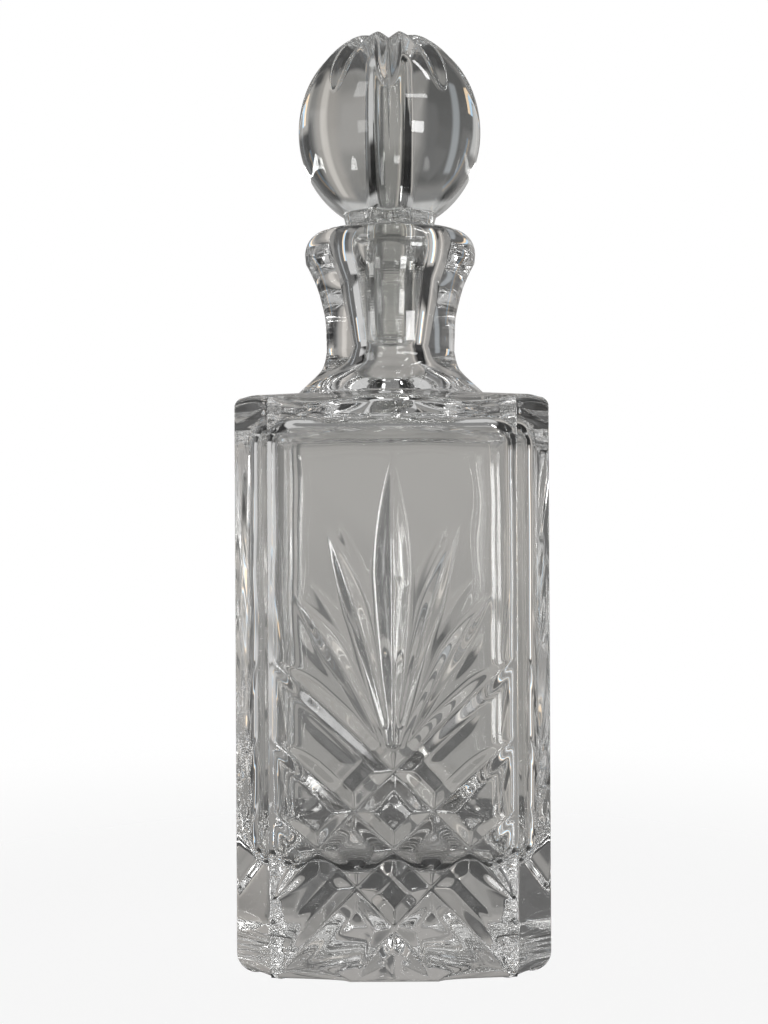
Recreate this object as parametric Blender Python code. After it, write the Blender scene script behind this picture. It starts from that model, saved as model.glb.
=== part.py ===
"""Cut crystal decanter: a square bottle with a round neck, and a ball stopper that lifts out of it.

Frame: +Z is up and is the axis of both pieces. The origin is the centre of the underside, on the surface
the decanter stands on. The cut faces look along -Y (front), +X, +Y and -X.
The driving dimensions are in millimetres; the meshes are in metres.
"""
import math

import bmesh
import bpy
from mathutils import Matrix, Vector

MM = 0.001

# Body: a square prism with flat vertical corner chamfers.
BODY_HALF = 44.0          # half the width across two opposite faces
CHAMFER = 9.85            # leg of a corner chamfer
HEEL_RADIUS = 1.0         # rounding between the faces and the underside
HEEL_CORNER_RADIUS = 6.5  # the same under the chamfers
HEEL_REACH = 20.0         # how far from the middle of a chamfer that larger rounding is felt
EDGE_Z = 160.4            # mean height of the edge between a face and the shoulder
EDGE_WAVE = 0.9           # the edge rises and falls by this much
EDGE_RADIUS = 2.5         # rounding of that edge
EDGE_ARC_END = (0.2, 0.98)             # where the rounding meets the shoulder, as cosine and sine

# Neck and lip, measured on the outside.
SHOULDER_R, SHOULDER_Z = 29.0, 163.4
LIP_TOP_Z = 212.5
LIP_TOP_R = 20.3          # outer edge of the flat top of the lip
LIP_R, LIP_Z = 25.7, 206.2
LIP_ROUND = 2.6           # drop of the round under the widest part of the lip
NECK_OUTER = [(24.2, 201.3), (22.1, 196.5), (20.7, 191.6), (19.7, 186.8), (19.4, 181.0),
              (19.4, 176.5), (20.5, 172.2), (22.3, 169.8), (24.8, 167.4)]

# Hollow of the bottle.
CAVITY_HALF = 36.9
CAVITY_CORNER = 10.6      # radius of its four upright corners
CAVITY_FLOOR_Z = 29.5
CAVITY_FLOOR_RADIUS = 7.0
CAVITY_TOP_Z = 156.0      # height of its ceiling at the walls
CAVITY_TOP_RADIUS = 9.0
THROAT = [(21.0, 160.2), (14.5, 164.0), (10.6, 168.0), (8.4, 172.5)]
BORE_LOW_R, BORE_LOW_Z = 7.4, 178.0
BORE_TOP_R, BORE_TOP_Z = 10.3, 202.0
MOUTH = [(11.2, 206.0), (12.6, 210.6), (13.4, 212.0), (14.2, 212.5)]

# Stopper: a slightly tall ball on a collar, with a hollow ground plug.
STOPPER_GAP = 0.35        # clearance between the plug and the bore
MOUTH_GAP = 0.5           # and where both widen towards the lip
BALL_R, BALL_Z = 27.45, 243.0
BALL_UP, BALL_DOWN = 29.6, 29.1        # its half-heights above and below its widest part
COLLAR_R, COLLAR_Z = 13.7, 216.8
PLUG_END_R, PLUG_END_Z = 6.3, 178.6
PLUG_BEVEL_Z = 180.0
# Air bore of the stopper, (radius, height), drawn in at its mouth and with a round top.
STOPPER_BORE = [(3.0, 178.6), (3.3, 180.2), (4.8, 184.0), (5.2, 216.0), (4.9, 243.0), (4.5, 256.5)]
FLUTES = 10
FLUTE_DEPTH = 2.0
FLUTE_END_ANGLE = math.radians(77)     # polar angle of the flutes' tips
FLUTE_FULL_ANGLE = math.radians(54)    # polar angle where they reach their full depth

# Cuts: V-shaped grooves with pointed ends, the same on all four faces.
CUT_SLOPE = 0.55          # depth of a groove for each millimetre of half-width
CUT_PROUD = 1.0           # how far a cutter stands out of the face
CUT_STATIONS = 7
# The fan: (tip x, tip z, foot x, foot z, half-width, bow, where it is widest), right half and middle.
FAN = [
    (0.0, 144.2, 0.0, 65.0, 5.2, 0.0, 0.42),
    (17.9, 124.6, 2.0, 70.0, 2.9, -1.0, 0.42),
    (26.2, 105.4, 3.2, 64.5, 3.2, -1.1, 0.42),
]
# The diagonals that fall to the left: (upper x, upper z, lower x, lower z).
DIAGONALS = [(33.0, 88.2, -32.4, 23.0), (33.1, 66.6, -31.0, 2.6), (33.3, 46.8, -9.8, 2.6)]
DIAGONAL_HALF_WIDTH = 3.7
DIAGONAL_BOW = 1.6
DIAGONAL_TAPER = 15.0     # length of a diagonal's pointed end

HEEL_HEIGHTS = (0.0, 0.3, 1.0, 2.0, 3.8, 6.5)
FACE_STEPS, CHAMFER_STEPS = 8, 2
ROUND_STEPS = 40

GLASS_COLOUR = (0.93, 0.94, 0.93, 1.0)


def clear_scene():
    for obj in list(bpy.data.objects):
        bpy.data.objects.remove(obj)


def glass_material(name):
    mat = bpy.data.materials.new(name)
    mat.use_nodes = True
    shader = mat.node_tree.nodes["Principled BSDF"]
    shader.inputs["Base Color"].default_value = GLASS_COLOUR
    shader.inputs["Roughness"].default_value = 0.02
    shader.inputs["Metallic"].default_value = 0.0
    shader.inputs["IOR"].default_value = 1.54
    shader.inputs["Transmission Weight"].default_value = 1.0
    return mat


# ---- rings: every ring has the same number of points, starting at the right end of the front face ----

def ring_angles():
    """Polar angles of a ring's points: even steps across each face and each chamfer."""
    half_face = math.atan2(BODY_HALF - CHAMFER, BODY_HALF)
    angles = []
    for quarter in range(4):
        face_middle = -math.pi / 2 + quarter * math.pi / 2
        for i in range(FACE_STEPS):
            across = (2 * i / FACE_STEPS - 1) * math.tan(half_face)
            angles.append(face_middle + math.atan(across))
        for i in range(CHAMFER_STEPS):
            span = math.pi / 2 - 2 * half_face
            angles.append(face_middle + half_face + span * i / CHAMFER_STEPS)
    return angles


ANGLES = ring_angles()


def octagon_radius(angle, half, chamfer):
    """Distance from the axis to a square with chamfered corners."""
    c, s = abs(math.cos(angle)), abs(math.sin(angle))
    return min(half / max(c, s), (2 * half - chamfer) / (c + s))


def rounded_square_radius(angle, half, radius):
    """Distance from the axis to a square with round corners."""
    c, s = sorted((abs(math.cos(angle)), abs(math.sin(angle))))
    flat = half / s
    if flat * c <= half - radius:
        return flat
    core = (half - radius) * (c + s)
    return core + math.sqrt(core * core - 2 * (half - radius) ** 2 + radius * radius)


def polar_ring(radius_at, height_at):
    """One ring of points, from two functions of the polar angle."""
    points = []
    for angle in ANGLES:
        r = radius_at(angle)
        points.append(Vector((r * math.cos(angle), r * math.sin(angle), height_at(angle))))
    return points


def circle(radius, z):
    return polar_ring(lambda a: radius, lambda a: z)


def edge_wave(angle):
    """How far the top edge of the body rises (+) or falls (-) at this angle."""
    from_face = abs((math.degrees(angle) + 45) % 90 - 45) / 45
    return EDGE_WAVE * math.cos(2 * math.pi * from_face ** 1.4)


def arc(steps):
    """(cosine, sine) pairs along a quarter turn, both ends left out."""
    turns = [math.pi / 2 * (i + 1) / (steps + 1) for i in range(steps)]
    return [(math.cos(t), math.sin(t)) for t in turns]


def heel_radius(angle):
    """Rounding of the lower edge at this angle: small under the faces, large under the chamfers."""
    from_corner = (BODY_HALF - CHAMFER / 2) * math.radians(abs(math.degrees(angle) % 90 - 45))
    share = max(0.0, 1 - from_corner / HEEL_REACH)
    return HEEL_RADIUS + (HEEL_CORNER_RADIUS - HEEL_RADIUS) * math.sqrt(share)


def heel_inset(angle, z):
    """How far the side stands back at this height, because of the rounded lower edge."""
    radius = heel_radius(angle)
    if z >= radius:
        return 0.0
    return radius - math.sqrt(radius ** 2 - (radius - z) ** 2)


def body_outer_rings():
    """The underside, heel and sides, up to the shoulder's edge."""
    rings = []
    for z in HEEL_HEIGHTS:
        def radius(a):
            inset = heel_inset(a, z)
            return octagon_radius(a, BODY_HALF - inset, CHAMFER - (2 - math.sqrt(2)) * inset)
        rings.append(polar_ring(radius, lambda a: z))
    return rings


def shoulder_rings():
    """The waved edge, the shoulder and the outside of the neck, up to the flat top of the lip."""
    rings = []
    for cosine, sine in [(1.0, 0.0)] + arc(2) + [EDGE_ARC_END]:
        half = BODY_HALF - EDGE_RADIUS * (1 - cosine)
        drop = EDGE_RADIUS * (1 - sine)
        rings.append(polar_ring(lambda a: octagon_radius(a, half, CHAMFER),
                                lambda a: EDGE_Z + edge_wave(a) - drop))
    for share in (0.35, 0.7, 1.0):
        def radius(a):
            edge = octagon_radius(a, BODY_HALF - EDGE_RADIUS, CHAMFER)
            return edge + (SHOULDER_R - edge) * share

        def height(a):
            edge = EDGE_Z + edge_wave(a)
            return edge + (SHOULDER_Z - edge) * share
        rings.append(polar_ring(radius, height))
    rings += [circle(r, z) for r, z in reversed(NECK_OUTER)]
    rings.append(circle(LIP_R - 0.25, LIP_Z - LIP_ROUND))
    rings.append(circle(LIP_R, LIP_Z))
    for cosine, sine in arc(3):
        rings.append(circle(LIP_TOP_R + (LIP_R - LIP_TOP_R) * cosine,
                            LIP_Z + (LIP_TOP_Z - LIP_Z) * sine))
    rings.append(circle(LIP_TOP_R, LIP_TOP_Z))
    return rings


def hollow_rings():
    """The inside of the bottle, from the mouth down to the cavity's floor."""
    rings = [circle(r, z) for r, z in reversed(MOUTH)]
    rings.append(circle(BORE_TOP_R, BORE_TOP_Z))
    rings.append(circle(BORE_LOW_R, BORE_LOW_Z))
    rings += [circle(r, z) for r, z in reversed(THROAT)]

    def walls(inset, z):
        half = CAVITY_HALF - inset
        corner = max(CAVITY_CORNER - inset, 1.0)
        return polar_ring(lambda a: rounded_square_radius(a, half, corner), lambda a: z)

    rings.append(walls(CAVITY_TOP_RADIUS, CAVITY_TOP_Z))
    for cosine, sine in reversed(arc(2)):
        rings.append(walls(CAVITY_TOP_RADIUS * (1 - cosine), CAVITY_TOP_Z - CAVITY_TOP_RADIUS * (1 - sine)))
    rings.append(walls(0.0, CAVITY_TOP_Z - CAVITY_TOP_RADIUS))
    rings.append(walls(0.0, CAVITY_FLOOR_Z + CAVITY_FLOOR_RADIUS))
    for cosine, sine in arc(2):
        rings.append(walls(CAVITY_FLOOR_RADIUS * (1 - cosine),
                           CAVITY_FLOOR_Z + CAVITY_FLOOR_RADIUS * (1 - sine)))
    rings.append(walls(CAVITY_FLOOR_RADIUS, CAVITY_FLOOR_Z))
    return rings


def loft(name, rings, first_centre, last_centre, material):
    """A closed body through rings of equal length, capped by a fan of triangles at each end."""
    mesh = bpy.data.meshes.new(name)
    bm = bmesh.new()
    loops = [[bm.verts.new(p * MM) for p in ring] for ring in rings]
    count = len(loops[0])
    for lower, upper in zip(loops, loops[1:]):
        for i in range(count):
            j = (i + 1) % count
            bm.faces.new((lower[i], lower[j], upper[j], upper[i]))
    for loop, centre, outward in ((loops[0], first_centre, -1), (loops[-1], last_centre, 1)):
        tip = bm.verts.new(Vector(centre) * MM)
        for i in range(count):
            pair = (loop[i], loop[(i + 1) % count])
            bm.faces.new((*pair, tip) if outward > 0 else (*reversed(pair), tip))
    bm.normal_update()
    bm.to_mesh(mesh)
    bm.free()
    mesh.materials.append(material)
    mesh.shade_smooth()
    mesh.set_sharp_from_angle(angle=math.radians(22))
    obj = bpy.data.objects.new(name, mesh)
    bpy.context.collection.objects.link(obj)
    return obj


# ---- cuts ----

def fan_width(share, widest):
    """Half-width of a leaf, 0 to 1, at a share of its length from the tip."""
    t = share / widest if share < widest else (1 - share) / (1 - widest)
    return 1 - (1 - t) ** 2 if share < widest else 0.35 + 0.65 * t


def diagonal_width(share, length):
    t = min(1.0, min(share, 1 - share) * length / DIAGONAL_TAPER)
    return 1 - (1 - t) ** 2


def v_cutter(name, start, end, half_width, bow, profile):
    """A wedge that cuts one V groove into the front face. start, end: (x, z) of its pointed ends."""
    start, end = Vector(start), Vector(end)
    along = end - start
    across = Vector((-along.y, along.x)).normalized()
    bm = bmesh.new()
    stations = []
    for i in range(1, CUT_STATIONS):
        share = i / CUT_STATIONS
        width = half_width * max(profile(share, along.length), 0.05)
        middle = start + along * share + across * bow * 4 * share * (1 - share)
        spread = width + CUT_PROUD / CUT_SLOPE
        left, right = middle - across * spread, middle + across * spread
        outside, inside = -BODY_HALF - CUT_PROUD, -BODY_HALF + width * CUT_SLOPE
        stations.append([
            bm.verts.new(Vector((left.x, outside, left.y)) * MM),
            bm.verts.new(Vector((right.x, outside, right.y)) * MM),
            bm.verts.new(Vector((middle.x, inside, middle.y)) * MM),
        ])
    for a, b in zip(stations, stations[1:]):
        for i in range(3):
            j = (i + 1) % 3
            bm.faces.new((a[i], a[j], b[j], b[i]))
    for point, ring, flip in ((start, stations[0], True), (end, stations[-1], False)):
        tips = []
        for side in (-1, 1):
            p = point + across * side * CUT_PROUD / CUT_SLOPE
            tips.append(bm.verts.new(Vector((p.x, -BODY_HALF - CUT_PROUD, p.y)) * MM))
        low = bm.verts.new(Vector((point.x, -BODY_HALF, point.y)) * MM)
        cap = [tips[0], tips[1], low]
        for i in range(3):
            j = (i + 1) % 3
            quad = (ring[i], ring[j], cap[j], cap[i])
            bm.faces.new(tuple(reversed(quad)) if flip else quad)
        bm.faces.new(tuple(reversed(cap)) if not flip else tuple(cap))
    bmesh.ops.recalc_face_normals(bm, faces=bm.faces)
    mesh = bpy.data.meshes.new(name)
    bm.to_mesh(mesh)
    bm.free()
    return mesh


def face_cutters():
    """The cutters of one face: the fan, and the diagonals that cross below it."""
    meshes = []
    for n, (tip_x, tip_z, foot_x, foot_z, half_width, bow, widest) in enumerate(FAN):
        for side in ((1,) if tip_x == 0 else (1, -1)):
            meshes.append(v_cutter(f"fan_cutter_{n}", (side * tip_x, tip_z), (side * foot_x, foot_z),
                                   half_width, side * bow,
                                   lambda share, length, w=widest: fan_width(share, w)))
    for n, (upper_x, upper_z, lower_x, lower_z) in enumerate(DIAGONALS):
        for side in (1, -1):
            meshes.append(v_cutter(f"diagonal_cutter_{n}", (side * upper_x, upper_z),
                                   (side * lower_x, lower_z), DIAGONAL_HALF_WIDTH,
                                   -side * DIAGONAL_BOW, diagonal_width))
    return meshes


def cut_faces(bottle):
    """Gives the bottle a Boolean difference for each groove on each of its four faces."""
    for mesh in face_cutters():
        for quarter in range(4):
            cutter = bpy.data.objects.new(f"{mesh.name}_{quarter}", mesh)
            bpy.context.collection.objects.link(cutter)
            cutter.matrix_world = Matrix.Rotation(quarter * math.pi / 2, 4, "Z")
            cutter.hide_render = True
            cutter.display_type = "WIRE"
            cut = bottle.modifiers.new(cutter.name, "BOOLEAN")
            cut.operation = "DIFFERENCE"
            cut.object = cutter


# ---- stopper ----

def flute_depth(polar):
    """Depth of a flute's bottom at this angle from the top of the ball."""
    if polar >= FLUTE_END_ANGLE:
        return 0.0
    t = min(1.0, (FLUTE_END_ANGLE - polar) / (FLUTE_END_ANGLE - FLUTE_FULL_ANGLE))
    return FLUTE_DEPTH * (1 - (1 - t) ** 2)


def stopper_ring(radius, z, groove=0.0):
    """A ring of the stopper. Every fourth point lies in the bottom of a flute."""
    points = []
    for i in range(ROUND_STEPS):
        angle = -math.pi / 2 + 2 * math.pi * i / ROUND_STEPS
        r = radius - (groove if i % (ROUND_STEPS // FLUTES) == 0 else 0.0)
        points.append(Vector((r * math.cos(angle), r * math.sin(angle), z)))
    return points


def stopper_rings():
    """From the top of the bore, down its wall, up the outside of the plug and over the ball."""
    top_r, top_z = STOPPER_BORE[-1]
    rings = [stopper_ring(top_r * cosine, top_z + top_r * sine) for cosine, sine in reversed(arc(2))]
    rings += [stopper_ring(r, z) for r, z in reversed(STOPPER_BORE)]
    rings.append(stopper_ring(PLUG_END_R, PLUG_END_Z))
    taper = (BORE_TOP_R - BORE_LOW_R) / (BORE_TOP_Z - BORE_LOW_Z)
    bevel_r = BORE_LOW_R - STOPPER_GAP + taper * (PLUG_BEVEL_Z - BORE_LOW_Z)
    rings.append(stopper_ring(bevel_r, PLUG_BEVEL_Z))
    rings.append(stopper_ring(BORE_TOP_R - STOPPER_GAP, BORE_TOP_Z))
    for r, z in MOUTH[:2]:
        rings.append(stopper_ring(r - MOUTH_GAP, z))
    rings.append(stopper_ring(COLLAR_R - 0.9, LIP_TOP_Z + 1.0))
    rings.append(stopper_ring(COLLAR_R, COLLAR_Z))
    join = math.pi - math.asin(COLLAR_R / BALL_R)
    for step in range(1, 15):
        polar = join * (1 - step / 15)
        half_height = BALL_UP if polar < math.pi / 2 else BALL_DOWN
        rings.append(stopper_ring(BALL_R * math.sin(polar), BALL_Z + half_height * math.cos(polar),
                                  flute_depth(polar)))
    return rings


def main():
    clear_scene()
    rings = body_outer_rings() + shoulder_rings() + hollow_rings()
    bottle = loft("bottle", rings, (0, 0, 0), (0, 0, CAVITY_FLOOR_Z), glass_material("bottle_glass"))
    cut_faces(bottle)
    top = (0, 0, BALL_Z + BALL_UP - FLUTE_DEPTH)
    bore_end = (0, 0, sum(STOPPER_BORE[-1]))
    loft("stopper", stopper_rings(), bore_end, top, glass_material("stopper_glass"))


main()
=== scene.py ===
"""The look of the cut crystal decanter: polished glass, deep cuts with rounded edges, a ball stopper.

Lengths in this file are millimetres until a mesh is written, which is in metres.
The front face looks along -Y; u runs across a face, z up it, and depth into the glass.
"""
import math

import bpy
import numpy as np
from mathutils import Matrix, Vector


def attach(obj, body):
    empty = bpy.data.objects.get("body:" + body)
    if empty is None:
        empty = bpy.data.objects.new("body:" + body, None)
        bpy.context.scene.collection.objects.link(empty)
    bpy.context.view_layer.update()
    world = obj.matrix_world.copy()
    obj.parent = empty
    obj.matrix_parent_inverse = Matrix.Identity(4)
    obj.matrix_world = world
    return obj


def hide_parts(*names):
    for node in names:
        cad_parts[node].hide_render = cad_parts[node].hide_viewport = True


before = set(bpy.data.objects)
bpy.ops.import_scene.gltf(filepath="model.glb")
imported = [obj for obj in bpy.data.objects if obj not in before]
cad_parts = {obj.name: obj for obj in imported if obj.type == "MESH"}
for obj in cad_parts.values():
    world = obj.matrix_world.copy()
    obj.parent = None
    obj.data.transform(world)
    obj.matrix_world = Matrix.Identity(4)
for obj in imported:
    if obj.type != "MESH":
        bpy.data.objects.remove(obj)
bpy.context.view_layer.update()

MM = 0.001

# ---- sizes shared with the CAD part, apart from BALL_UP ----
BODY_HALF = 44.0
CHAMFER = 9.85
HEEL_RADIUS, HEEL_CORNER_RADIUS, HEEL_REACH = 1.0, 6.5, 20.0
EDGE_Z, EDGE_WAVE, EDGE_RADIUS = 160.4, 0.9, 2.5
SHOULDER_R, SHOULDER_Z = 29.0, 163.4
NECK = [(29.0, 163.4), (24.8, 167.4), (22.3, 169.8), (20.5, 172.2), (19.4, 176.5), (19.4, 181.0),
        (19.7, 186.8), (20.7, 191.6), (22.1, 196.5), (24.2, 201.3)]
LIP_TOP_R, LIP_TOP_Z = 20.3, 212.5
LIP_R, LIP_Z, LIP_ROUND = 25.7, 206.2, 2.6
MOUTH = [(14.2, 212.5), (13.4, 212.0), (12.6, 210.6), (11.2, 206.0), (10.3, 202.0)]
BORE_LOW_R, BORE_LOW_Z = 7.4, 178.0
BORE_TOP_R, BORE_TOP_Z = 10.3, 202.0
THROAT = [(7.4, 178.0), (8.4, 172.5), (10.6, 168.0), (14.5, 164.0), (21.0, 160.2)]
CAVITY_HALF, CAVITY_CORNER = 36.9, 10.6
CAVITY_FLOOR_Z, CAVITY_FLOOR_RADIUS = 29.5, 7.0
CAVITY_TOP_Z, CAVITY_TOP_RADIUS = 156.0, 9.0

BALL_R, BALL_Z = 27.45, 243.0
BALL_UP, BALL_DOWN = 30.4, 29.1                # taller than the CAD's, as the flutes here cut into the pole
COLLAR_R, COLLAR_Z = 13.7, 216.8
PLUG_END_R, PLUG_END_Z, PLUG_BEVEL_Z = 6.3, 178.6, 180.0
STOPPER_GAP, MOUTH_GAP = 0.35, 0.5
STOPPER_BORE = [(3.0, 178.6), (3.3, 180.2), (4.8, 184.0), (5.2, 216.0), (4.9, 243.0), (4.5, 256.5)]

# ---- the cuts ----
CUT_SLOPE = 0.55
EDGE_SOFT = 0.17          # softness of the polished edges beside a groove
CREASE_SOFT = 0.16        # softness of the crease at its bottom
FAN = [
    (0.0, 144.2, 0.0, 65.0, 5.2, 0.0, 0.42),
    (17.9, 124.6, 2.0, 70.0, 2.9, -1.0, 0.42),
    (26.2, 105.4, 3.2, 64.5, 3.2, -1.1, 0.42),
]
DIAGONALS = [(33.0, 88.2, -32.4, 23.0), (33.1, 66.6, -31.0, 2.6), (33.3, 46.8, -9.8, 2.6)]
DIAGONAL_HALF_WIDTH, DIAGONAL_BOW, DIAGONAL_TAPER = 3.7, 1.6, 15.0

STAR_POINTS = 24                               # cut in the underside
STAR_R, STAR_HALF_WIDTH = 38.0, 4.5

INNER_WAVE, INNER_WAVE_LENGTH = 0.11, 30.0     # unevenness of the inside walls
RIDGE_PITCH, RIDGE_DEPTH = 0.9, 0.05           # grinding lines round the plug

FLUTES = 10
FLUTE_TURN = math.radians(-1.0)
FLUTE_SLOPE = 0.7
FLUTE_HALF_WIDTH = 3.3
FLUTE_END_ANGLE, FLUTE_FULL_ANGLE = math.radians(77), math.radians(54)

# ---- mesh resolution ----
FACE_COLUMNS = 140        # across one face
CORNER_COLUMNS = 3        # round each edge of a chamfer
CHAMFER_COLUMNS = 14
ROW_STEP = 0.45
HEEL_ROWS = 22
CUTS_TOP_Z = 146.0        # no cut reaches higher than this
CORNER_ROUND = 0.7
STITCH = 4                # fine columns to each coarse column
PROFILE_STEP = 0.8        # between rings along a smooth outline
FINE_PROFILE_STEP = 0.5   # the same where it turns tightly, at the lip and collar
FLUTE_COLUMNS = 32        # round the ball, for each flute
BALL_ROWS = 190
RIDGE_ROWS = 6            # to each grinding line
UNDERSIDE_ROWS = 70
WALL_ROWS = 60            # up the cavity's flat walls
LIP_FLAT_R = 17.0         # of the one ring on the flat top of the lip
PLUG_END_ROUND = 0.3      # bevel of the plug's lower edge


# ---- small helpers ----

def smooth_profile(points, step):
    """A smooth line through (radius, z) points, with a point about every step millimetres."""
    p = np.array(points, float)
    ends = np.vstack([2 * p[0] - p[1], p, 2 * p[-1] - p[-2]])
    out = [p[0]]
    for i in range(len(p) - 1):
        a, b, c, d = ends[i:i + 4]
        count = max(1, int(round(np.linalg.norm(c - b) / step)))
        for t in np.linspace(0, 1, count + 1)[1:]:
            out.append(0.5 * (2 * b + (c - a) * t + (2 * a - 5 * b + 4 * c - d) * t * t
                              + (3 * b - a - 3 * c + d) * t ** 3))
    return [tuple(q) for q in out]


def quarter_arc(steps):
    """(cosine, sine) along a quarter turn, the first end left out and the last one kept."""
    return [(math.cos(t), math.sin(t)) for t in np.linspace(0, math.pi / 2, steps + 1)[1:]]


def soft_top(values, softness):
    """A smooth maximum of zero and every array in the list."""
    total = np.ones_like(values[0])
    for v in values:
        total = total + np.exp(np.minimum(v / softness, 60.0))
    return softness * np.log(total)


def waviness(a, b, size, wavelength, seed):
    """A slow, smooth unevenness of about size, from sums of sines of two coordinates."""
    rng = np.random.default_rng(seed)
    total = np.zeros(np.broadcast(a, b).shape)
    for _ in range(7):
        direction = rng.uniform(0, 2 * math.pi)
        wave = wavelength * rng.uniform(0.6, 1.7)
        total = total + np.sin(2 * math.pi * (a * math.cos(direction) + b * math.sin(direction)) / wave
                               + rng.uniform(0, 2 * math.pi))
    return size * total / math.sqrt(7)


# ---- the depth of the cuts at a point of a face ----

def fan_width(share, widest):
    grow = 1 - (1 - np.clip(share / widest, -9, 1)) ** 2
    shrink = 0.35 + 0.65 * (1 - share) / (1 - widest)
    return np.where(share < widest, grow, shrink)


def diagonal_width(share, length):
    t = np.clip(np.minimum(share, 1 - share) * length / DIAGONAL_TAPER, -9, 1)
    return 1 - (1 - t) ** 2


def groove(u, z, start, end, half_width, bow, width_at):
    """Signed depth of one V groove: positive inside it, negative outside."""
    dx, dz = end[0] - start[0], end[1] - start[1]
    length = math.hypot(dx, dz)
    dx, dz = dx / length, dz / length
    along = (u - start[0]) * dx + (z - start[1]) * dz
    share = along / length
    inside = np.clip(share, 0, 1)
    across = -(u - start[0]) * dz + (z - start[1]) * dx - bow * 4 * inside * (1 - inside)
    beyond = np.maximum(-along, 0) + np.maximum(along - length, 0)
    width = half_width * width_at(inside, length) - beyond
    return CUT_SLOPE * (width - np.sqrt(across ** 2 + CREASE_SOFT ** 2))


def cut_depth(u, z):
    """Depth of the cut surface below the flat face."""
    values = []
    for tip_x, tip_z, foot_x, foot_z, half_width, bow, widest in FAN:
        for side in ((1,) if tip_x == 0 else (1, -1)):
            values.append(groove(u, z, (side * tip_x, tip_z), (side * foot_x, foot_z), half_width,
                                 side * bow, lambda s, length, w=widest: fan_width(s, w)))
    for upper_x, upper_z, lower_x, lower_z in DIAGONALS:
        for side in (1, -1):
            values.append(groove(u, z, (side * upper_x, upper_z), (side * lower_x, lower_z),
                                 DIAGONAL_HALF_WIDTH, -side * DIAGONAL_BOW, diagonal_width))
    return soft_top(values, EDGE_SOFT)


# ---- rings of the bottle ----

def columns(half, chamfer):
    """One quarter of a body ring, seen from the front: where each column is, and its outward direction.

    Both are arrays of (u, outward) with a row for each column: the face, a rounded edge, the chamfer and
    the other rounded edge.
    """
    trim = CORNER_ROUND * math.tan(math.radians(22.5))
    middle = half - chamfer - trim
    place = [(u, half) for u in np.linspace(-middle, middle, FACE_COLUMNS + 1)]
    facing = [(0.0, 1.0)] * len(place)
    for angle in np.linspace(0, math.pi / 4, CORNER_COLUMNS + 1)[1:]:
        place.append((middle + CORNER_ROUND * math.sin(angle), half - CORNER_ROUND * (1 - math.cos(angle))))
        facing.append((math.sin(angle), math.cos(angle)))
    start = place[-1]
    for t in np.linspace(0, 1, CHAMFER_COLUMNS + 1)[1:]:
        place.append((start[0] + (start[1] - start[0]) * t, start[1] + (start[0] - start[1]) * t))
        facing.append((math.sin(math.pi / 4), math.sin(math.pi / 4)))
    last = FACE_COLUMNS + CORNER_COLUMNS
    for n in range(last - 1, FACE_COLUMNS, -1):
        place.append(place[n][::-1])
        facing.append(facing[n][::-1])
    return np.array(place), np.array(facing)


def all_round(quarter):
    """The four quarters of a ring, from the (u, outward) columns of the front one."""
    parts = [np.column_stack([quarter[:, 0], -quarter[:, 1]])]
    for _ in range(3):
        parts.append(np.column_stack([-parts[-1][:, 1], parts[-1][:, 0]]))
    return np.concatenate(parts)


def heel_inset(place, z):
    """How far each column stands back at this height, because of the rounded lower edge."""
    from_corner = np.radians(45) - np.abs(np.arctan2(place[:, 0], place[:, 1]))
    share = np.clip(1 - (BODY_HALF - CHAMFER / 2) * np.abs(from_corner) / HEEL_REACH, 0, 1)
    radius = HEEL_RADIUS + (HEEL_CORNER_RADIUS - HEEL_RADIUS) * np.sqrt(share)
    rise = np.clip(radius - z, 0, None)
    return radius - np.sqrt(radius ** 2 - rise ** 2)


def edge_wave(angle):
    from_face = np.abs((np.degrees(angle) + 45) % 90 - 45) / 45
    return EDGE_WAVE * np.cos(2 * math.pi * from_face ** 1.4)


def round_ring(radius, z, count, turn):
    angle = turn + np.linspace(0, 2 * math.pi, count, endpoint=False)
    return np.stack([radius * np.cos(angle), radius * np.sin(angle), np.full(count, z)], axis=1)


def cavity_ring(inset, z, count, turn_columns):
    """A rounded square inside the body, a little uneven, its columns in step with the coarse body rings."""
    half = CAVITY_HALF - inset
    corner = max(CAVITY_CORNER - inset, 1.0)
    quarter = count // 4
    flat_columns = quarter - turn_columns
    flat = half - corner
    pts = []
    for i in range(flat_columns):
        pts.append((-flat + 2 * flat * i / flat_columns, half))
    for i in range(turn_columns):
        angle = math.pi / 2 * i / turn_columns
        pts.append((flat + corner * math.sin(angle), flat + corner * math.cos(angle)))
    pts = np.array(pts)
    ring = [np.stack([pts[:, 0], -pts[:, 1]], axis=1)]
    for _ in range(3):
        last = ring[-1]
        ring.append(np.stack([-last[:, 1], last[:, 0]], axis=1))
    ring = np.concatenate(ring)
    wave = waviness(ring[:, 0] + 0.7 * z, ring[:, 1] - 0.4 * z, INNER_WAVE, INNER_WAVE_LENGTH, 5)
    ring = ring * (1 + wave[:, None] / CAVITY_HALF)
    return np.column_stack([ring, np.full(len(ring), z)])


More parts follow.
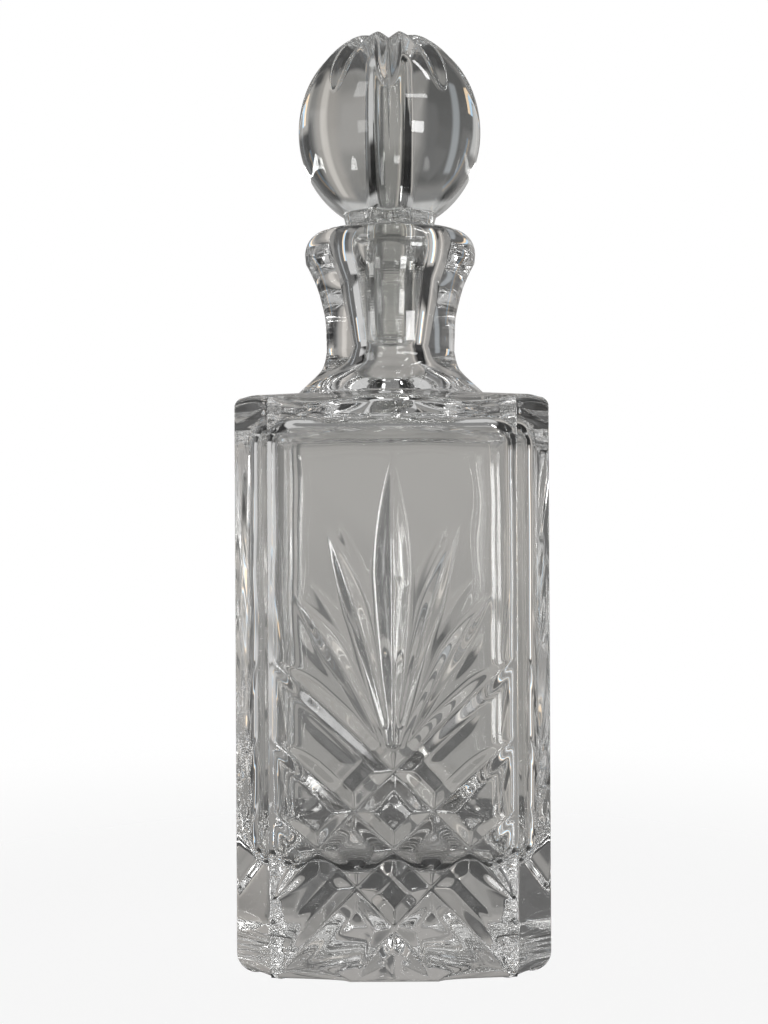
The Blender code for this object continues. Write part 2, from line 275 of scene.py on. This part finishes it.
class Shell:
    """A closed mesh made of rings of points, each joined to the next."""

    def __init__(self):
        self.points, self.faces, self.rings = [], [], []

    def ring(self, points):
        start = sum(len(p) for p in self.points)
        self.points.append(np.asarray(points, float))
        self.rings.append((start, len(points)))
        if len(self.rings) > 1:
            self.join(*self.rings[-2:])

    def join(self, lower, upper):
        (a, n), (b, m) = lower, upper
        if n == m:
            i = np.arange(n)
            j = (i + 1) % n
            self.faces.append(np.stack([a + i, a + j, b + j, b + i], axis=1))
            return
        k = max(n, m) // min(n, m)
        fine, coarse = (a, b) if n > m else (b, a)
        small, large = min(n, m), max(n, m)
        tris = []
        for c in range(small):
            f = [fine + (c * k + s) % large for s in range(k + 1)]
            here, there = coarse + c, coarse + (c + 1) % small
            for s in range(k):
                tris.append((f[s], f[s + 1], here if s < k // 2 else there))
            tris.append((f[k // 2], there, here))
        tris = np.array(tris)
        self.faces.append(tris if n > m else tris[:, ::-1])

    def cap(self, point, first):
        start = sum(len(p) for p in self.points)
        self.points.append(np.array([point], float))
        a, n = self.rings[0] if first else self.rings[-1]
        i = np.arange(n)
        j = (i + 1) % n
        tip = np.full(n, start)
        self.faces.append(np.stack([a + j, a + i, tip] if first else [a + i, a + j, tip], axis=1))

    def build(self, name, material):
        points = np.concatenate(self.points) * MM
        mesh = bpy.data.meshes.new(name)
        loops = np.concatenate([f.ravel() for f in self.faces])
        sizes = np.concatenate([np.full(len(f), f.shape[1]) for f in self.faces])
        starts = np.concatenate([[0], np.cumsum(sizes)[:-1]])
        mesh.vertices.add(len(points))
        mesh.vertices.foreach_set("co", points.astype(np.float32).ravel())
        mesh.loops.add(len(loops))
        mesh.loops.foreach_set("vertex_index", loops.astype(np.int32))
        mesh.polygons.add(len(sizes))
        mesh.polygons.foreach_set("loop_start", starts.astype(np.int32))
        mesh.update(calc_edges=True)
        mesh.validate()
        mesh.shade_smooth()
        mesh.materials.append(material)
        obj = bpy.data.objects.new(name, mesh)
        bpy.context.scene.collection.objects.link(obj)
        return obj


def body_heights():
    """Heights of the fine rings: close together in the heel, even up the cut faces, wider above them."""
    heel = [HEEL_CORNER_RADIUS * (1 - math.cos(t)) for t in np.linspace(0, math.pi / 2, HEEL_ROWS)]
    cuts = list(np.arange(HEEL_CORNER_RADIUS + ROW_STEP, CUTS_TOP_Z, ROW_STEP))
    return heel + cuts + list(np.linspace(CUTS_TOP_Z, EDGE_Z - EDGE_RADIUS - EDGE_WAVE - 1.0, 6))


def fine_rings():
    """Rings of the outside of the body, with the cuts in all four faces."""
    place, facing = columns(BODY_HALF, CHAMFER)
    face = slice(0, FACE_COLUMNS + 1)
    rings = []
    for z in body_heights():
        quarter = place - facing * heel_inset(place, z)[:, None]
        quarter[face, 1] -= cut_depth(quarter[face, 0], np.full(FACE_COLUMNS + 1, z))
        around = all_round(quarter)
        rings.append(np.column_stack([around, np.full(len(around), z)]))
    return rings


def top_edge_rings(last_z):
    """The rounded, waved edge between the faces and the shoulder."""
    place, facing = columns(BODY_HALF, CHAMFER)
    rings = []
    steps = [(1.0, 0.0, 0.5), (1.0, 0.0, 1.0)]
    steps += [(cosine, sine, 1.0) for cosine, sine in quarter_arc(8)[:-1]]
    for cosine, sine, share in steps:
        around = all_round(place - facing * EDGE_RADIUS * (1 - cosine))
        wave = edge_wave(np.arctan2(around[:, 1], around[:, 0]))
        top = EDGE_Z + wave - EDGE_RADIUS * (1 - sine)
        rings.append(np.column_stack([around, last_z + (top - last_z) * share]))
    return rings


def star_depth(radius, azimuth):
    """Depth of the star cut in the underside: V grooves that run out from the middle to fine points."""
    sector = 2 * math.pi / STAR_POINTS
    turn = (azimuth + sector / 2) % sector - sector / 2
    across = radius * np.sin(turn)
    width = STAR_HALF_WIDTH * (1 - radius / STAR_R)
    return soft_top([CUT_SLOPE * (width - np.sqrt(across ** 2 + CREASE_SOFT ** 2))], EDGE_SOFT)


def underside_rings(edge):
    """Rings from the middle of the underside out to the heel, with the star cut in them."""
    azimuth = np.arctan2(edge[:, 1], edge[:, 0])
    reach = np.hypot(edge[:, 0], edge[:, 1])
    rings = []
    for share in list(np.linspace(0.01, 0.93, UNDERSIDE_ROWS)) + [0.96]:
        radius = reach * share
        rings.append(np.column_stack([radius * np.cos(azimuth), radius * np.sin(azimuth),
                                      star_depth(radius, azimuth)]))
    return rings


def bottle_shell():
    shell = Shell()
    fine = fine_rings()
    for ring in underside_rings(fine[0]):
        shell.ring(ring)
    for ring in fine:
        shell.ring(ring)
    edge = top_edge_rings(fine[-1][0, 2])
    for ring in edge:
        shell.ring(ring)
    count = len(edge[-1]) // STITCH
    rim = edge[-1][::STITCH]
    start_angle = math.atan2(rim[0, 1], rim[0, 0])

    shoulder_foot = round_ring(SHOULDER_R, SHOULDER_Z, count, start_angle)
    for share in np.linspace(0, 1, 10)[1:-1]:
        shell.ring(rim * (1 - share) + shoulder_foot * share)
    outer = smooth_profile(NECK, PROFILE_STEP)
    outer += [(LIP_R - 0.25, LIP_Z - LIP_ROUND), (LIP_R, LIP_Z)]
    for cosine, sine in quarter_arc(10):
        outer.append((LIP_TOP_R + (LIP_R - LIP_TOP_R) * cosine, LIP_Z + (LIP_TOP_Z - LIP_Z) * sine))
    inner = smooth_profile(MOUTH, FINE_PROFILE_STEP)
    inner += [(BORE_TOP_R + (BORE_LOW_R - BORE_TOP_R) * t, BORE_TOP_Z + (BORE_LOW_Z - BORE_TOP_Z) * t)
              for t in np.linspace(0, 1, 12)[1:-1]]
    inner += smooth_profile(THROAT, PROFILE_STEP)
    for r, z in outer + [(LIP_FLAT_R, LIP_TOP_Z)] + inner:
        shell.ring(round_ring(r, z, count, start_angle))

    turn_columns = count // 16
    throat = round_ring(THROAT[-1][0], THROAT[-1][1], count, start_angle)
    ceiling = cavity_ring(CAVITY_TOP_RADIUS, CAVITY_TOP_Z, count, turn_columns)
    for share in np.linspace(0, 1, 8)[1:]:
        shell.ring(throat * (1 - share) + ceiling * share)
    for cosine, sine in reversed(quarter_arc(9)[:-1]):
        shell.ring(cavity_ring(CAVITY_TOP_RADIUS * (1 - cosine),
                               CAVITY_TOP_Z - CAVITY_TOP_RADIUS * (1 - sine), count, turn_columns))
    wall_top, wall_low = CAVITY_TOP_Z - CAVITY_TOP_RADIUS, CAVITY_FLOOR_Z + CAVITY_FLOOR_RADIUS
    for z in np.linspace(wall_top, wall_low, WALL_ROWS):
        shell.ring(cavity_ring(0.0, z, count, turn_columns))
    for cosine, sine in quarter_arc(9):
        shell.ring(cavity_ring(CAVITY_FLOOR_RADIUS * (1 - cosine),
                               CAVITY_FLOOR_Z + CAVITY_FLOOR_RADIUS * (1 - sine), count, turn_columns))
    floor_ring = cavity_ring(CAVITY_FLOOR_RADIUS, CAVITY_FLOOR_Z, count, turn_columns)
    for share in (0.85, 0.7, 0.55, 0.4, 0.25, 0.1):
        ring = floor_ring.copy()
        ring[:, :2] *= share
        shell.ring(ring)
    shell.cap((0, 0, star_depth(np.array([0.0]), np.array([0.0]))[0]), first=True)
    shell.cap((0, 0, CAVITY_FLOOR_Z), first=False)
    return shell


# ---- the stopper ----

def flute_depth(polar, azimuth):
    """Depth of the flutes below the ball, and of the dimple where they meet."""
    reach = BALL_R * (FLUTE_END_ANGLE - polar)
    full = BALL_R * (FLUTE_END_ANGLE - FLUTE_FULL_ANGLE)
    t = np.clip(reach / full, 0, 1)
    width = np.where(reach > 0, FLUTE_HALF_WIDTH * np.sqrt(1 - (1 - t) ** 2), reach)
    sector = 2 * math.pi / FLUTES
    turn = (azimuth - FLUTE_TURN + math.pi / 2 + sector / 2) % sector - sector / 2
    across = BALL_R * np.sin(polar) * turn
    value = FLUTE_SLOPE * (width - np.sqrt(across ** 2 + CREASE_SOFT ** 2))
    return soft_top([value], EDGE_SOFT)


def stopper_shell():
    shell = Shell()
    count = FLUTES * FLUTE_COLUMNS
    turn = -math.pi / 2
    top_r, top_z = STOPPER_BORE[-1]
    line = [(top_r * cosine, top_z + top_r * sine) for cosine, sine in reversed(quarter_arc(8)[:-1])]
    line += smooth_profile(STOPPER_BORE[::-1], PROFILE_STEP)
    line += [(STOPPER_BORE[0][0] + 0.5, PLUG_END_Z), (PLUG_END_R - PLUG_END_ROUND, PLUG_END_Z)]
    line += [(PLUG_END_R, PLUG_END_Z + PLUG_END_ROUND)]
    taper = (BORE_TOP_R - BORE_LOW_R) / (BORE_TOP_Z - BORE_LOW_Z)
    bevel_r = BORE_LOW_R - STOPPER_GAP + taper * (PLUG_BEVEL_Z - BORE_LOW_Z)
    for z in np.arange(PLUG_BEVEL_Z, BORE_TOP_Z, RIDGE_PITCH / RIDGE_ROWS):
        ridge = RIDGE_DEPTH * (1 - math.cos(2 * math.pi * z / RIDGE_PITCH)) / 2
        line.append((bevel_r + taper * (z - PLUG_BEVEL_Z) - ridge, z))
    under = [(BORE_TOP_R - STOPPER_GAP, BORE_TOP_Z)]
    line += under
    under = under + [(r - MOUTH_GAP, z) for r, z in MOUTH[-2:-4:-1]]
    under += [(COLLAR_R - 0.9, LIP_TOP_Z + 1.0), (COLLAR_R, COLLAR_Z)]
    line += smooth_profile(under, FINE_PROFILE_STEP)[1:]
    for r, z in line:
        shell.ring(round_ring(r, z, count, turn))
    join = math.pi - math.asin(COLLAR_R / BALL_R)
    azimuth = turn + np.linspace(0, 2 * math.pi, count, endpoint=False)
    for step in range(1, BALL_ROWS):
        polar = join * (1 - step / BALL_ROWS)
        half_height = BALL_UP if polar < math.pi / 2 else BALL_DOWN
        depth = flute_depth(np.full(count, polar), azimuth)
        r = (BALL_R - depth) * math.sin(polar)
        z = BALL_Z + (half_height - depth) * math.cos(polar)
        shell.ring(np.column_stack([r * np.cos(azimuth), r * np.sin(azimuth), z]))
    shell.cap((0, 0, top_z + top_r), first=True)
    pole = flute_depth(np.array([0.0]), np.array([0.0]))[0]
    shell.cap((0, 0, BALL_Z + BALL_UP - pole), first=False)
    return shell


# ---- materials ----
GLASS_IOR = 1.54
BOTTLE_TINT = (0.985, 0.985, 0.975, 1.0)
STOPPER_TINT = (0.87, 0.875, 0.86, 1.0)
SURFACE_NOISE, SURFACE_BUMP = 60.0, 0.1


def glass(name, colour):
    """Clear polished glass with a faint, slow unevenness, which lets shadow rays through."""
    mat = bpy.data.materials.new(name)
    mat.use_nodes = True
    nodes, links = mat.node_tree.nodes, mat.node_tree.links
    shader = nodes["Principled BSDF"]
    shader.inputs["Base Color"].default_value = colour
    shader.inputs["Metallic"].default_value = 0.0
    shader.inputs["IOR"].default_value = GLASS_IOR
    shader.inputs["Transmission Weight"].default_value = 1.0
    coords = nodes.new("ShaderNodeTexCoord")
    noise = nodes.new("ShaderNodeTexNoise")
    noise.inputs["Scale"].default_value = SURFACE_NOISE
    noise.inputs["Detail"].default_value = 2.0
    links.new(coords.outputs["Object"], noise.inputs["Vector"])
    rough = nodes.new("ShaderNodeMapRange")
    rough.inputs["To Min"].default_value = 0.0
    rough.inputs["To Max"].default_value = 0.02
    links.new(noise.outputs["Fac"], rough.inputs["Value"])
    links.new(rough.outputs["Result"], shader.inputs["Roughness"])
    height = nodes.new("ShaderNodeBump")
    height.inputs["Strength"].default_value = SURFACE_BUMP
    height.inputs["Distance"].default_value = 0.02 * MM
    links.new(noise.outputs["Fac"], height.inputs["Height"])
    links.new(height.outputs["Normal"], shader.inputs["Normal"])
    clear = nodes.new("ShaderNodeBsdfTransparent")
    clear.inputs["Color"].default_value = (0.92, 0.92, 0.92, 1.0)
    path = nodes.new("ShaderNodeLightPath")
    mix = nodes.new("ShaderNodeMixShader")
    links.new(path.outputs["Is Shadow Ray"], mix.inputs["Fac"])
    links.new(shader.outputs["BSDF"], mix.inputs[1])
    links.new(clear.outputs["BSDF"], mix.inputs[2])
    links.new(mix.outputs["Shader"], nodes["Material Output"].inputs["Surface"])
    return mat


# ---- studio ----

class Graph:
    """A short way to write the arithmetic of the world and the floor."""

    def __init__(self, tree):
        self.nodes, self.links = tree.nodes, tree.links

    def math(self, operation, a, b=0.0):
        node = self.nodes.new("ShaderNodeMath")
        node.operation = operation
        for socket, value in zip(node.inputs, (a, b)):
            if isinstance(value, (int, float)):
                socket.default_value = value
            else:
                self.links.new(value, socket)
        return node.outputs[0]

    def smooth(self, value, low, high):
        node = self.nodes.new("ShaderNodeMapRange")
        node.interpolation_type = "SMOOTHSTEP"
        self.links.new(value, node.inputs["Value"])
        node.inputs["From Min"].default_value = low
        node.inputs["From Max"].default_value = high
        return node.outputs["Result"]

    def band(self, value, low, high, soft):
        """1 between low and high, fading to 0 over soft on both sides."""
        rise = self.smooth(value, low - soft, low)
        fall = self.smooth(value, high, high + soft)
        return self.math("MULTIPLY", rise, self.math("SUBTRACT", 1.0, fall))

    def mix(self, factor, a, b):
        node = self.nodes.new("ShaderNodeMix")
        node.data_type = "RGBA"
        self.links.new(factor, node.inputs["Factor"])
        for socket, value in ((node.inputs["A"], a), (node.inputs["B"], b)):
            if isinstance(value, tuple):
                socket.default_value = (*value, 1.0)
            else:
                self.links.new(value, socket)
        return node.outputs["Result"]


# The room round the decanter, painted in this order over ROOM_COLOUR: (from azimuth, to azimuth,
# from elevation, to elevation, softness, brightness, warmth) in degrees. Azimuth 0 is the wall that the
# camera faces, 90 is on the right and 180 behind the camera; elevation 0 is level.
ROOM_COLOUR = (0.275, 0.270, 0.262)
ROOM = [
    (-180, 180, 46, 90, 12, 0.22, 0.0),        # ceiling
    (-180, 60, 52, 74, 5, 0.60, 0.0),          # brighter band of it
    (-180, 180, -90, -42, 8, 0.03, 0.0),       # dark under the table's edge
    (-52, 52, -46, -17, 4, 0.06, 0.0),         # far side of the table, in shade
    (-22, 24, 1, 18, 7, 0.35, 0.03),           # lighter, warm stretch of the far wall
    (52, 128, 8, 46, 9, 0.015, 0.0),           # dark wall on the right
    (-128, -52, 8, 46, 9, 0.010, 0.0),         # dark wall on the left
    (-66, -18, -24, 34, 8, 0.12, 0.0),         # shaded corner, back left
    (29, 40, -20, 44, 7, 0.38, 0.05),          # pale curtain, back right
    (34, 37, -20, 44, 3, 0.62, 0.05),          # and the daylight beside it
    (-37, -34, -10, 30, 3, 0.36, -0.05),       # cooler strip, back left
    (-88, -60, -5, 18, 5, 0.62, 0.0),          # light wall, left
    (56, 74, -32, 6, 5, 0.50, 0.04),           # light wall, right
    (59, 62, -34, 4, 1, 1.30, 0.30),           # paired warm and cool strips, right
    (63, 66, -34, 4, 1, 1.30, -0.30),
    (-57, -54, -30, 0, 1, 0.90, -0.30),        # and left
    (-53, -50, -30, 0, 1, 0.90, 0.30),
    (100, 132, -44, -18, 6, 0.70, 0.0),        # table in the window's light
    (-132, -96, -40, -6, 6, 0.45, 0.0),        # table on the left
    (122, 180, -18, 20, 8, 0.55, 0.0),         # bright room behind the camera
    (-180, -122, -18, 20, 8, 0.55, 0.0),
    (138, 152, -6, 4, 1.5, 13.0, 0.0),         # low window, front right
    (130, 158, 29, 31, 1.5, 8.0, 0.0),         # level lamp, front right
    (112, 118, 46, 66, 1.5, 13.0, 0.0),        # second lamp, higher and further round
    (-146, -133, 31, 43, 3, 4.0, 0.0),         # soft lamps, front left
    (-151, -142, -5, 4, 3, 3.5, 0.0),
]


def studio_world():
    world = bpy.data.worlds.new("studio")
    bpy.context.scene.world = world
    world.use_nodes = True
    g = Graph(world.node_tree)
    nodes, links = g.nodes, g.links
    coords = nodes.new("ShaderNodeTexCoord")
    split = nodes.new("ShaderNodeSeparateXYZ")
    links.new(coords.outputs["Generated"], split.inputs["Vector"])
    x, y, z = split.outputs
    azimuth = g.math("MULTIPLY", g.math("ARCTAN2", x, y), 180 / math.pi)
    elevation = g.math("MULTIPLY", g.math("ARCSINE", z), 180 / math.pi)
    room = ROOM_COLOUR
    for low_a, high_a, low_e, high_e, soft, power, warmth in ROOM:
        across = g.band(azimuth, low_a, high_a, soft)
        mask = g.math("MULTIPLY", across, g.band(elevation, low_e, high_e, soft))
        room = g.mix(mask, room, (power * (1 + warmth), power, power * (1 - warmth)))
    path = nodes.new("ShaderNodeLightPath")
    seen = g.mix(path.outputs["Is Camera Ray"], room, (1.0, 1.0, 1.0))
    background = nodes["Background"]
    links.new(seen, background.inputs["Color"])


FLOOR_R = 420.0
FLOOR_DROP = 0.3                # below the underside, so that the two never coincide
FLOOR_SHADE = 0.12              # share of the floor that takes light and shadow; the rest glows white


def studio_floor():
    ring = round_ring(FLOOR_R * MM, 0.0, 96, 0.0)
    mesh = bpy.data.meshes.new("floor")
    mesh.from_pydata([Vector(p) for p in ring], [], [tuple(range(len(ring)))])
    mesh.update()
    floor = bpy.data.objects.new("floor", mesh)
    floor.location.z = -FLOOR_DROP * MM
    bpy.context.scene.collection.objects.link(floor)
    mat = bpy.data.materials.new("pale_floor")
    mat.use_nodes = True
    g = Graph(mat.node_tree)
    nodes, links = g.nodes, g.links
    diffuse = nodes["Principled BSDF"]
    diffuse.inputs["Base Color"].default_value = (0.8, 0.8, 0.8, 1.0)
    diffuse.inputs["Roughness"].default_value = 0.9
    glow = nodes.new("ShaderNodeEmission")
    glow.inputs["Color"].default_value = (1.0, 1.0, 1.0, 1.0)
    clear = nodes.new("ShaderNodeBsdfTransparent")
    coords = nodes.new("ShaderNodeTexCoord")
    distance = nodes.new("ShaderNodeVectorMath")
    distance.operation = "LENGTH"
    links.new(coords.outputs["Object"], distance.inputs[0])
    fade = g.smooth(distance.outputs["Value"], FLOOR_R * 0.25 * MM, FLOOR_R * 0.98 * MM)
    path = nodes.new("ShaderNodeLightPath")

    def blend(factor, first, second):
        node = nodes.new("ShaderNodeMixShader")
        if isinstance(factor, float):
            node.inputs["Fac"].default_value = factor
        else:
            links.new(factor, node.inputs["Fac"])
        links.new(first, node.inputs[1])
        links.new(second, node.inputs[2])
        return node.outputs["Shader"]

    surface = blend(FLOOR_SHADE, glow.outputs["Emission"], diffuse.outputs["BSDF"])
    inner = blend(path.outputs["Is Camera Ray"], clear.outputs["BSDF"], surface)
    output = blend(fade, inner, clear.outputs["BSDF"])
    links.new(output, nodes["Material Output"].inputs["Surface"])
    mesh.materials.append(mat)


CAMERA_DISTANCE, CAMERA_HEIGHT, CAMERA_SIDE = 451.1, 128.66, -2.24
CAMERA_ROLL = math.radians(0.286)
LENS = 52.38


def studio_camera():
    data = bpy.data.cameras.new("camera")
    data.lens = LENS
    camera = bpy.data.objects.new("camera", data)
    camera.location = Vector((CAMERA_SIDE, -CAMERA_DISTANCE, CAMERA_HEIGHT)) * MM
    camera.rotation_euler = (math.pi / 2, CAMERA_ROLL, 0)
    data.clip_start, data.clip_end = 0.01, 20
    bpy.context.scene.collection.objects.link(camera)
    bpy.context.scene.camera = camera


# ---- the scene ----

bottle = bottle_shell().build("crystal_bottle", glass("bottle_crystal", BOTTLE_TINT))
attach(bottle, "bottle_body")
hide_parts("bottle")
stopper = stopper_shell().build("crystal_stopper", glass("stopper_crystal", STOPPER_TINT))
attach(stopper, "stopper_body")
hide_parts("stopper")

studio_world()
studio_floor()
studio_camera()
scene = bpy.context.scene
scene.view_settings.view_transform = "Standard"
scene.cycles.max_bounces = 32
scene.cycles.transmission_bounces = 32
scene.cycles.glossy_bounces = 24
scene.cycles.transparent_max_bounces = 16
